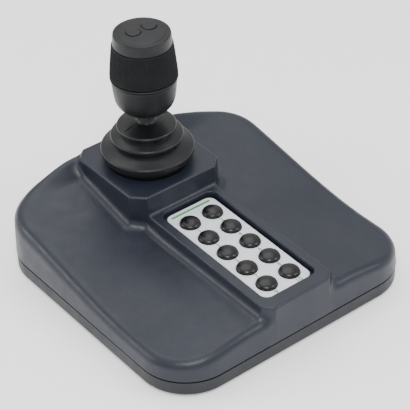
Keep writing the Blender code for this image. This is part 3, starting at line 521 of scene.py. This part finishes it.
def housing_skin(shell):
    """The right half of the top surface as a bmesh, open at its outline."""
    scale = (TOP_CORNER - shell) / TOP_CORNER
    rows = housing_rows(shell)
    front_reach = [(TOP_CORNER - d) * scale for d in FRONT_LEVELS]
    back_reach = [(TOP_CORNER - d) * scale for d in BACK_LEVELS]
    first = len(FRONT_LEVELS) - 1
    last = len(rows) - len(BACK_LEVELS)
    bm = bmesh.new()
    grid = []
    for y, top in rows:
        share = min(max((y + CORNER_Y) / (2 * CORNER_Y), 0), 1)
        levels = [f + (b - f) * share for f, b in zip(front_reach, back_reach)]
        xs, heights = row_points(y, top, shell, levels)
        grid.append([bm.verts.new((x, y, z)) for x, z in zip(xs, heights)])
    columns = len(grid[0])
    corner_column = columns - len(FRONT_LEVELS)
    for i in range(len(grid) - 1):
        for j in range(columns - 1):
            if j >= corner_column and (i < first or i >= last):
                continue
            bm.faces.new((grid[i][j], grid[i][j + 1], grid[i + 1][j + 1], grid[i + 1][j]))
    for i, row in enumerate(grid):
        for j in range(corner_column + 1, columns):
            if i < first or i > last:
                bm.verts.remove(row[j])
    for side, reach in ((-1, front_reach), (1, back_reach)):
        angles = np.linspace(0, math.pi / 2, CORNER_STEPS + 1)
        block = []
        for distance in reach:
            x = CORNER_X + distance * np.cos(angles)
            y = side * (CORNER_Y + distance * np.sin(angles))
            z = skin_height(x, y, shell)
            block.append([bm.verts.new(p) for p in zip(x, y, z)])
        for inner, outer in zip(block[:-1], block[1:]):
            for k in range(CORNER_STEPS):
                bm.faces.new((inner[k], outer[k], outer[k + 1], inner[k + 1]))
    mirror = bm.copy()
    mirror.transform(Matrix.Scale(-1, 4, (1, 0, 0)))
    bmesh.ops.reverse_faces(mirror, faces=mirror.faces)
    whole = merged([bm, mirror])
    bmesh.ops.remove_doubles(whole, verts=whole.verts, dist=0.004)
    return whole


def outline_ring(bm):
    """The open outer edge in order round the middle."""
    found = {v for e in bm.edges if len(e.link_faces) == 1 for v in e.verts}
    return sorted(found, key=lambda v: math.atan2(v.co.y, v.co.x))


def outward(x, y):
    """The footprint's outward direction at a point on its outline."""
    dx = math.copysign(max(abs(x) - CORNER_X, 0), x)
    dy = math.copysign(max(abs(y) - CORNER_Y, 0), y)
    return Vector((dx, dy)).normalized()


def add_wall(bm, ring, levels, low):
    """Rings down from an outline to low: each level is (share of the way down, how far out)."""
    rings = [ring]
    starts = [v.co.copy() for v in ring]
    for share, out in levels:
        loop = []
        for start in starts:
            n = outward(start.x, start.y)
            z = start.z + (low - start.z) * share
            loop.append(bm.verts.new((start.x + n.x * out, start.y + n.y * out, z)))
        rings.append(loop)
    for upper, lower in zip(rings[:-1], rings[1:]):
        ring_faces(bm, upper, lower)
    return rings[-1]


def edge_distance(v):
    """How far a point lies outside the corner centres' rectangle."""
    return math.hypot(max(abs(v.co.x) - CORNER_X, 0), max(abs(v.co.y) - CORNER_Y, 0))


def housing_body():
    """The outer and inner skins, joined by the side wall down to the parting line."""
    outer = housing_skin(0.0)
    inner = housing_skin(SHELL)
    bmesh.ops.reverse_faces(inner, faces=inner.faces)
    counts = len(outline_ring(outer)), len(outline_ring(inner))
    if counts[0] != counts[1]:
        raise ValueError(f"the housing's outlines differ: {counts}")
    whole = merged([outer, inner])
    rings = outline_ring(whole)
    between = TOP_CORNER - SHELL / 2
    outer_ring = [v for v in rings if edge_distance(v) > between]
    inner_ring = [v for v in rings if edge_distance(v) <= between]
    low_outer = add_wall(whole, outer_ring, OUTER_WALL, PARTING_Z)
    low_inner = add_wall(whole, inner_ring, INNER_WALL, PARTING_Z)
    ring_faces(whole, low_outer, low_inner)
    return whole


def recess_body():
    """What the keypad recess takes away: a window through the ledge, then the recess and its rounded rim."""
    middle = (0.0, (RECESS_BACK + RECESS_FRONT) / 2)
    half_y = (RECESS_BACK - RECESS_FRONT) / 2
    low = -PLATE_THICK - GAP
    rim = SPINE_ABOVE_PLATE

    def outline(grow, z):
        points = rounded_outline(RECESS_HALF + grow, half_y + grow, RECESS_CORNER + grow, middle)
        return at_height(points, z)

    window = rounded_outline(WINDOW_HALF, half_y - WINDOW_INSET, WINDOW_CORNER, middle)
    loops = [at_height(window, WINDOW_LOW), at_height(window, low), outline(0, low), outline(0.0, rim - 0.7),
             outline(0.12, rim - 0.35), outline(0.4, rim - 0.08), outline(0.75, rim + 0.02),
             outline(0.75, RECESS_CLEAR)]
    recess = lofted(loops)
    recess.transform(KEYPAD)
    return recess


def build_housing():
    """The top housing with its keypad recess, boot hole and socket opening."""
    housing = raw_object("housing", housing_body())
    hole = turned([(0, 40), (BOOT_HOLE_R, 40), (BOOT_HOLE_R, PEDESTAL_Z - 0.5),
                   (BOOT_HOLE_R + 0.5, PEDESTAL_Z + 0.01), (BOOT_HOLE_R + 0.5, 62), (0, 62)],
                  96, at=(0, STICK_Y, 0))
    socket = stacked(SOCKET_HALF_X + 0.5, 12.0, 0.8, [(0, HALF_Y - 12), (0, HALF_Y + 5)])
    socket.transform(Matrix.Translation((SOCKET_X, 0, SOCKET_Z - 6.0)) @ LAID_BACK)
    cut(housing, merged([recess_body(), hole, socket]))
    return dress(housing, "slate_plastic", "root", ["top_housing"])


# ---------------------------------------------------------------- base, feet and screws


FEET = {"foot_front_left": (-60, -78), "foot_front_right": (60, -78), "foot_back_left": (-60, 78),
        "foot_back_right": (60, 78)}
BASE_SCREWS = [(sx * 76.0, sy * 62.0) for sy in (-1, 1) for sx in (-1, 1)]
BASE_SCREW_LENGTH = 12.5
TRAY_FLOOR = FOOT_STAND + 3.2
POST_R = 3.0
POST_TOP = 10.9
POST_BORE_R = 1.25
HEAD_SEAT = FOOT_STAND + 1.7
HEAD_RECESS_R = 3.6
SCREW_HOLE_R = 1.8
FOOT_HOLE_R = 8.3
FOOT_HOLE_DEPTH = 1.0
THREAD_PITCH = 0.5
THREAD_DEPTH = 0.18


def pan_screw(at, length, head=3.1, height=1.2, shank=1.3):
    """A pan-head screw pointing up, with a round-bottomed hex socket in its head."""
    socket_radius = head * 0.5

    def hexagon(angle, radius, z):
        if abs(radius - socket_radius) > 1e-6:
            return 0.0
        part = (angle + math.pi / 6) % (math.pi / 3) - math.pi / 6
        return radius * 0.9 / math.cos(part) - radius

    profile = [(0, -0.25), (socket_radius, -0.3), (socket_radius, -height), (head * 0.72, -height),
               (head * 0.92, -height * 0.8), (head, -height * 0.45), (head, 0), (shank, 0)]
    for n in range(int((length - 1.5) / THREAD_PITCH)):
        crest = THREAD_PITCH * (n + 1)
        profile += [(shank, crest), (shank - THREAD_DEPTH, crest + THREAD_PITCH / 2)]
    profile += [(shank * 0.6, length - 0.4), (0, length)]
    return turned(profile, 48, at=at, ripple=hexagon)


def build_base():
    """The base tray under the parting line, its feet and its screws."""
    top = PARTING_Z - PARTING_GAP
    floor = TRAY_FLOOR
    edge = top - GROOVE_HEIGHT
    levels = [(BASE_INSET + 1.2, FOOT_STAND), (BASE_INSET + 0.5, FOOT_STAND + 0.15),
              (BASE_INSET + 0.12, FOOT_STAND + 0.6), (BASE_INSET, FOOT_STAND + 1.3), (BASE_INSET, edge - 0.15),
              (BASE_INSET + 0.15, edge), (2.5, edge), (2.5, top), (3.2, top), (3.5, top - 0.3),
              (3.5, floor + 1.0), (4.0, floor + 0.2), (5.0, floor)]
    base = raw_object("base_tray", stacked(HALF_X, HALF_Y, CORNER_RADIUS, levels, steps=24))
    post = [(0, floor - 1), (POST_R, floor - 1), (POST_R, POST_TOP), (0, POST_TOP)]
    cut(base, merged([turned(post, 32, at=(x, y, 0)) for x, y in BOARD_POSTS]), "UNION")
    screw_hole = [(0, 0), (HEAD_RECESS_R + 0.3, 0), (HEAD_RECESS_R + 0.3, FOOT_STAND + 0.01),
                  (HEAD_RECESS_R, FOOT_STAND + 0.3), (HEAD_RECESS_R, HEAD_SEAT), (SCREW_HOLE_R, HEAD_SEAT),
                  (SCREW_HOLE_R, 8), (0, 8)]
    foot_top = FOOT_STAND + FOOT_HOLE_DEPTH
    foot_hole = [(0, 0), (FOOT_HOLE_R, 0), (FOOT_HOLE_R, foot_top), (0, foot_top)]
    bore = [(0, floor), (POST_BORE_R, floor), (POST_BORE_R, 13), (0, 13)]
    holes = [turned(screw_hole, 48, at=(x, y, 0)) for x, y in BASE_SCREWS]
    holes += [turned(foot_hole, 48, at=(x, y, 0)) for x, y in FEET.values()]
    holes += [turned(bore, 24, at=(x, y, 0)) for x, y in BOARD_POSTS]
    cut(base, merged(holes))
    dress(base, "base_plastic", "root", ["base_plate"])
    for name, (x, y) in FEET.items():
        profile = [(0, 0.25), (4.8, 0.25), (5.2, 0)] + arc(7.2, 0.8, 0.8, -90, 0, 5)
        profile += [(8.0, FOOT_STAND + 0.7), (0, FOOT_STAND + 0.7)]
        pad = turned(profile, 48, at=(x, y, 0))
        add_piece(name.replace("foot_", "pad_"), pad, "foot_rubber", "root", [name])
    for n, (x, y) in enumerate(BASE_SCREWS):
        screw = pan_screw((x, y, HEAD_SEAT - GAP), BASE_SCREW_LENGTH)
        add_piece(f"tray_screw_{n + 1}", screw, "steel", "root", [f"base_screw_{n + 1}"])


# ---------------------------------------------------------------- keypad


FIGURE_SIZE = 4.6
FIGURE_THICK = 0.03
FIGURE_SWELL = 0.06
KEY_HOLE_R = 7.0
BAR_FROM_BACK = 3.3


def key_places():
    """Each key's number and place on the keypad plane: odd keys left, even keys right, 1 at the back."""
    return [(2 * row + column + 1, (column - 0.5) * KEY_COLUMN_PITCH, (2 - row) * KEY_ROW_PITCH)
            for row in range(5) for column in range(2)]


def digits(text, x, y, size):
    """Thin raised figures centred on a point of the keypad plane."""
    curve = bpy.data.curves.new("figure", "FONT")
    curve.body = text
    curve.size = size
    curve.align_x = "CENTER"
    curve.align_y = "CENTER"
    curve.extrude = FIGURE_THICK
    curve.offset = FIGURE_SWELL
    curve.resolution_u = 6
    obj = bpy.data.objects.new("figure", curve)
    bpy.context.scene.collection.objects.link(obj)
    bpy.context.view_layer.update()
    mesh = bpy.data.meshes.new_from_object(obj.evaluated_get(bpy.context.evaluated_depsgraph_get()))
    bm = bmesh.new()
    bm.from_mesh(mesh)
    bmesh.ops.remove_doubles(bm, verts=bm.verts, dist=0.001)
    bm.transform(Matrix.Translation((x, y, FIGURE_THICK)))
    bpy.data.objects.remove(obj)
    bpy.data.meshes.remove(mesh)
    return bm


def build_keypad():
    """The silver plate with its printed figures, and ten glossy domed keys without stems."""
    middle = (RECESS_BACK + RECESS_FRONT) / 2
    half_y = (RECESS_BACK - RECESS_FRONT) / 2 - PLATE_GAP
    levels = [(0.0, -PLATE_THICK), (0.0, -0.15), (0.15, 0.0)]
    plate_bm = stacked(RECESS_HALF - PLATE_GAP, half_y, 5.0, levels, (0, middle), 14)
    plate_bm.transform(KEYPAD)
    plate = raw_object("plate", plate_bm)
    hole = [(0, -5), (KEY_HOLE_R, -5), (KEY_HOLE_R, -0.12), (KEY_HOLE_R + 0.12, 0.001),
            (KEY_HOLE_R + 0.12, 5), (0, 5)]
    holes = merged([turned(hole, 64, at=(x, y, 0)) for _, x, y in key_places()])
    holes.transform(KEYPAD)
    cut(plate, holes)
    dress(plate, "silver_plate", "root", ["keypad_plate"])

    marks = [digits(str(n), x, y - KEY_ROW_PITCH / 2 - 0.1, FIGURE_SIZE) for n, x, y in key_places()]
    bar_y = middle + half_y - BAR_FROM_BACK
    marks.append(stacked(15.5, 0.75, 0.7, [(0.0, 0.0), (0.0, 2 * FIGURE_THICK)], (0, bar_y), 6))
    ink = merged(marks)
    ink.transform(KEYPAD)
    add_piece("key_figures", ink, "silver_plate", "root", (), sharp=30, weighted=False, material=DIGIT_GREEN)

    crown = [(KEY_RADIUS * math.cos(a), 0.9 + (KEY_HEIGHT - 0.9) * math.sin(a))
             for a in np.radians(np.linspace(6, 84, 12))]
    profile = [(0, -3.2), (7.1, -3.2), (7.3, -3.0), (7.3, -2.0), (7.1, -1.8),
               (KEY_RADIUS, -1.8), (KEY_RADIUS, 0.9)] + crown + [(0, KEY_HEIGHT)]
    for number, x, y in key_places():
        bm = turned(profile, 64, at=(x, y, 0))
        bm.transform(KEYPAD)
        add_piece(f"key_cap_{number}", bm, "key_gloss", f"key_{number}", [f"key_{number}"], weighted=False)


# ---------------------------------------------------------------- boot


CREASE_Z = 84.2
CREASE_INNER_R = 7.0
CREASE_OUTER_R = 17.0
CREASE_HALF = 0.2
CREASE_DEPTH = 0.45
BOOT_JOIN = (21.0, 71.5)
BOOT_JOIN_INNER = (19.7, 70.9)


def boot_profiles():
    """The outer (r, z) lines of the bellows' lower and upper pieces."""
    under = PEDESTAL_Z - 3.0
    outer = [(29.2, under - 1.5), (29.2, under - GAP), (25.7, under - GAP), (25.7, 58.0)]
    outer += [(26.0, 59.8), (27.6, 60.3)]
    outer += [(29.0, 60.8), (29.9, 61.6), (30.35, 62.8), (30.6, 64.6)] + arc(29.3, 66.1, 1.4, -15, 72, 10)
    outer += [(28.6, 67.8), (25.5, 69.2), (22.6, 70.6), BOOT_JOIN]
    upper = [(20.6, 72.1), (21.6, 72.4), (22.8, 72.9), (23.5, 73.9)] + arc(22.5, 75.55, 1.3, -15, 72, 10)
    upper += [(21.6, 77.3), (19.0, 78.3), (17.2, 79.1), (16.6, 79.8), (17.4, 80.2), (18.5, 80.6), (19.1, 81.4)]
    upper += arc(18.3, 82.7, 1.15, -15, 76, 10)
    upper += [(17.8, 84.0), (16.0, 84.35), (14.0, 84.8), (12.0, 85.2), (9.8, 85.5), (7.8, 85.8), (6.5, 86.3)]
    upper += [(5.8, 87.2), (5.5, 88.6), (5.4, 93.4)]
    return outer, upper


def build_boot():
    """The bellows in two pieces, a lower and an upper one."""
    outer, upper = boot_profiles()
    inner_low = [BOOT_JOIN_INNER, (27.9, 67.2), (28.2, 66.2), (25.4, 63.4), (24.4, 60.6), (23.9, PEDESTAL_Z - 4.5)]
    lower = turned(outer + inner_low, 128, hollow=True, at=(0, STICK_Y, 0))
    piece = raw_object("boot_lower", lower)
    dress(piece, "boot_rubber", None, ["boot"], sharp=50, weighted=False)
    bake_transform(piece)

    inner_up = [(4.3, 93.4), (4.3, 86.6), (6.0, 84.6), (16.8, 83.2), (17.1, 82.4), (15.6, 80.8), (15.8, 79.2),
                (17.9, 77.4), (21.0, 76.2), (21.4, 75.2), (19.4, 73.4), (19.3, 72.2), BOOT_JOIN_INNER]
    bm = turned([BOOT_JOIN] + upper + inner_up, 160, hollow=True, at=(0, STICK_Y, 0))
    for v in bm.verts:
        r = math.hypot(v.co.x, v.co.y - STICK_Y)
        on_crease = CREASE_INNER_R < r < CREASE_OUTER_R and abs(v.co.y - STICK_Y) < CREASE_HALF
        if v.co.z > CREASE_Z and on_crease:
            v.co.z -= CREASE_DEPTH
    piece = raw_object("boot_upper", bm)
    dress(piece, "boot_rubber", None, ["boot"], sharp=50, weighted=False)
    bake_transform(piece)


# ---------------------------------------------------------------- knob


CAP_TOP = 151.8
DOME_Z = 152.3
BUTTON_TOP = 152.8
SLEEVE_LOW = 121.0
SLEEVE_TOP = 143.8
RIBS = 104
BUTTON_SPACING = 6.1
BUTTON_SHIFT = (1.6, 2.8)
RIB_DEPTH = 0.36
RIB_MIN_R = 18.5
RIB_FADE = 0.5
CAP_INNER_Z = 147.6


def build_knob():
    """Bowl on the shaft, then the twisting bead, ribbed sleeve, nearly flat cap and two thumb buttons."""
    centre = (0, STICK_Y, 0)
    bowl = [(4.3, 94.0), (6.2, 94.0), (8.6, 94.3), (11.0, 95.1), (13.2, 96.1), (15.2, 97.4), (16.8, 98.9),
            (18.1, 100.7), (19.1, 102.8), (19.7, 105.0), (20.1, 107.5), (20.5, 111.0), (20.9, 115.0),
            (21.2, 118.0), (21.15, 118.7), (20.8, 118.9), (17.6, 118.9), (17.2, 107.0), (14.0, 104.0), (4.3, 104.0)]
    add_piece("bowl", turned(bowl, hollow=True, at=centre), "black_plastic", "stick", ["knob_bowl"])
    bead = [(16.8, 119.3), (21.2, 119.3)] + arc(21.2, 120.0, 0.7, -90, 90, 8) + [(16.8, 120.7)]
    add_piece("bead", turned(bead, hollow=True, at=centre), "black_plastic", "knob", ["bead_ring"])

    def ribs(angle, radius, z):
        if radius < RIB_MIN_R:
            return 0.0
        low_fade = min(1.0, max(0.0, (z - SLEEVE_LOW - 0.3) / RIB_FADE))
        high_fade = min(1.0, max(0.0, (SLEEVE_TOP - 0.3 - z) / RIB_FADE))
        return -RIB_DEPTH * (low_fade * high_fade) * (0.5 - 0.5 * math.cos(angle * RIBS)) ** 0.6

    sleeve = [(16.7, SLEEVE_LOW), (20.9, SLEEVE_LOW), (21.5, SLEEVE_LOW + 0.3), (21.85, SLEEVE_LOW + 0.9)]
    for n in range(1, 9):
        share = n / 9
        z = SLEEVE_LOW + 0.9 + (SLEEVE_TOP - SLEEVE_LOW - 1.8) * share
        sleeve.append((21.88 - 2.1 * share**1.15, z))
    sleeve += [(19.75, SLEEVE_TOP - 0.85), (19.6, SLEEVE_TOP - 0.3), (19.3, SLEEVE_TOP), (16.7, SLEEVE_TOP)]
    add_piece("sleeve", turned(sleeve, RIBS * 6, hollow=True, at=centre, ripple=ribs), "grip_rubber", "knob",
              ["knob_sleeve"], sharp=60, weighted=False)

    low = SLEEVE_TOP + GAP
    dome_radii = (3.0, 6.0, 8.5, 10.5, 12.2, 13.5, 14.4)
    cap = [(0, DOME_Z)] + [(r, DOME_Z - 0.5 * (r / dome_radii[-1]) ** 2.4) for r in dome_radii]
    cap += [(14.8, CAP_TOP - 0.2), (15.3, CAP_TOP - 0.4), (15.9, CAP_TOP - 0.35), (16.6, CAP_TOP - 0.1)]
    cap += arc(17.7, CAP_TOP - 0.7, 0.7, 110, 15, 7)
    cap += [(18.62, CAP_TOP - 2.2), (18.85, low + 2.0), (18.95, low + 0.4), (18.8, low), (16.3, low),
            (16.3, 142.0), (14.6, 142.0), (14.6, CAP_INNER_Z), (0, CAP_INNER_Z)]
    piece = raw_object("cap", turned(cap, at=centre))
    openings = []
    for side in (-1, 1):
        place = (BUTTON_SHIFT[0] + side * BUTTON_SPACING, STICK_Y + BUTTON_SHIFT[1])
        openings.append(stacked(4.85, 5.15, 4.3, [(0, 144.0), (0, 156.0)], place))
    cut(piece, merged(openings))
    dress(piece, "black_plastic", "knob", ["knob_cap"])

    for side, name in ((-1, "left"), (1, "right")):
        x = BUTTON_SHIFT[0] + side * BUTTON_SPACING
        y = STICK_Y + BUTTON_SHIFT[1]
        levels = [(0.0, 143.0), (0.0, BUTTON_TOP - 0.5), (0.12, BUTTON_TOP - 0.25), (0.4, BUTTON_TOP - 0.08),
                  (1.0, BUTTON_TOP), (2.2, BUTTON_TOP), (3.3, BUTTON_TOP)]
        pad = stacked(4.5, 4.8, 3.95, levels, (x, y), 12)
        button = raw_object(f"thumb_pad_{name}", pad)
        stem = turned([(0, 140.9), (2.0, 140.9), (2.0, 144.0), (0, 144.0)], 32, at=(x, y, 0))
        cut(button, stem, "UNION")
        dress(button, "black_plastic", f"thumb_{name}", [f"button_{name}"])


# ---------------------------------------------------------------- data socket


def build_socket():
    """A square metal socket shell with a folded lip, round a plastic tongue."""
    y1 = HALF_Y - SOCKET_SUNK
    y0 = y1 - SOCKET_DEPTH
    turn = Matrix.Translation((SOCKET_X, 0, SOCKET_Z)) @ LAID_BACK
    levels = [(0.0, y0), (0.0, y1 - 0.3), (0.15, y1), (0.75, y1), (0.95, y1 - 0.3), (0.95, y0 + 3), (2.0, y0 + 3)]
    shell = stacked(SOCKET_HALF_X, SOCKET_HALF_Z, 1.2, levels, (0, 0), 8)
    shell.transform(turn)
    add_piece("socket_shell", shell, "steel", "root", ["data_socket"])
    tongue_levels = [(0.2, y0 + 3.3), (0, y0 + 3.5), (0, y1 - 1.8), (0.25, y1 - 1.5)]
    tongue = stacked(2.8, 1.5, 0.3, tongue_levels, (0, 0), 4)
    tongue.transform(turn)
    add_piece("contact_tongue", tongue, "nylon", "root", ["socket_tongue"])


# ---------------------------------------------------------------- studio

FLOOR_HALF = 3.0
FLOOR_DROP = 0.0002
FLOOR_GLOW = 0.3
SURROUND = 0.95
AIM = (0.0, 0.0, 0.05)
LIGHTS = [("left_box", (-0.85, 0.6, 0.5), 0.4, 3.6), ("right_box", (0.66, -0.78, 0.82), 0.4, 5.0),
          ("top_box", (0.15, 0.45, 1.2), 1.1, 8.0), ("front_box", (-0.5, -0.65, 1.15), 0.4, 11.0)]
CAMERA_AT = (-0.5157, -0.6722, 0.6928)
CAMERA_HEADING = math.radians(-37.568)
CAMERA_DIP = math.radians(37.161)
CAMERA_ROLL = math.radians(-1.546)
CAMERA_LENS = 146.95


def area_light(name, at, target, size, power):
    """A square soft box aimed at a point."""
    data = bpy.data.lights.new(name, "AREA")
    data.shape = "RECTANGLE"
    data.size = size
    data.size_y = size
    data.energy = power
    light = bpy.data.objects.new(name, data)
    bpy.context.scene.collection.objects.link(light)
    light.location = at
    light.rotation_mode = "QUATERNION"
    light.rotation_quaternion = (Vector(target) - Vector(at)).to_track_quat("-Z", "Y")



def build_floor():
    """A pale floor just under the feet."""
    bm = bmesh.new()
    bm.faces.new([bm.verts.new((sx * FLOOR_HALF, sy * FLOOR_HALF, -FLOOR_DROP))
                  for sx, sy in ((-1, -1), (1, -1), (1, 1), (-1, 1))])
    mesh = bpy.data.meshes.new("floor")
    bm.to_mesh(mesh)
    bm.free()
    floor = bpy.data.objects.new("floor", mesh)
    bpy.context.scene.collection.objects.link(floor)
    paper = finish("floor_paper", (0.94, 0.94, 0.94), 0.9, grain=(300, 0.05), mottle=0.01, wear=0.0, specular=0.1)
    shader = paper.node_tree.nodes["Principled BSDF"]
    shader.inputs["Emission Color"].default_value = (1.0, 1.0, 1.0, 1.0)
    shader.inputs["Emission Strength"].default_value = FLOOR_GLOW
    mesh.materials.append(paper)


def build_studio():
    """Four soft boxes, an even pale surround and the camera at the photograph's angle."""
    world = bpy.data.worlds.new("surround")
    bpy.context.scene.world = world
    world.use_nodes = True
    background = world.node_tree.nodes["Background"]
    background.inputs["Color"].default_value = (1.0, 1.0, 1.0, 1.0)
    background.inputs["Strength"].default_value = SURROUND
    for name, at, size, power in LIGHTS:
        area_light(name, at, AIM, size, power)

    data = bpy.data.cameras.new("camera")
    data.lens = CAMERA_LENS
    data.sensor_width = 36.0
    data.clip_start = 0.05
    data.clip_end = 20.0
    camera = bpy.data.objects.new("camera", data)
    bpy.context.scene.collection.objects.link(camera)
    heading = Matrix.Rotation(CAMERA_HEADING, 4, "Z")
    tilt = Matrix.Rotation(math.pi / 2 - CAMERA_DIP, 4, "X")
    roll = Matrix.Rotation(CAMERA_ROLL, 4, "Z")
    camera.matrix_world = Matrix.Translation(CAMERA_AT) @ heading @ tilt @ roll
    bpy.context.scene.camera = camera


build_housing()
build_base()
build_keypad()
build_boot()
build_knob()
build_socket()
build_floor()
build_studio()
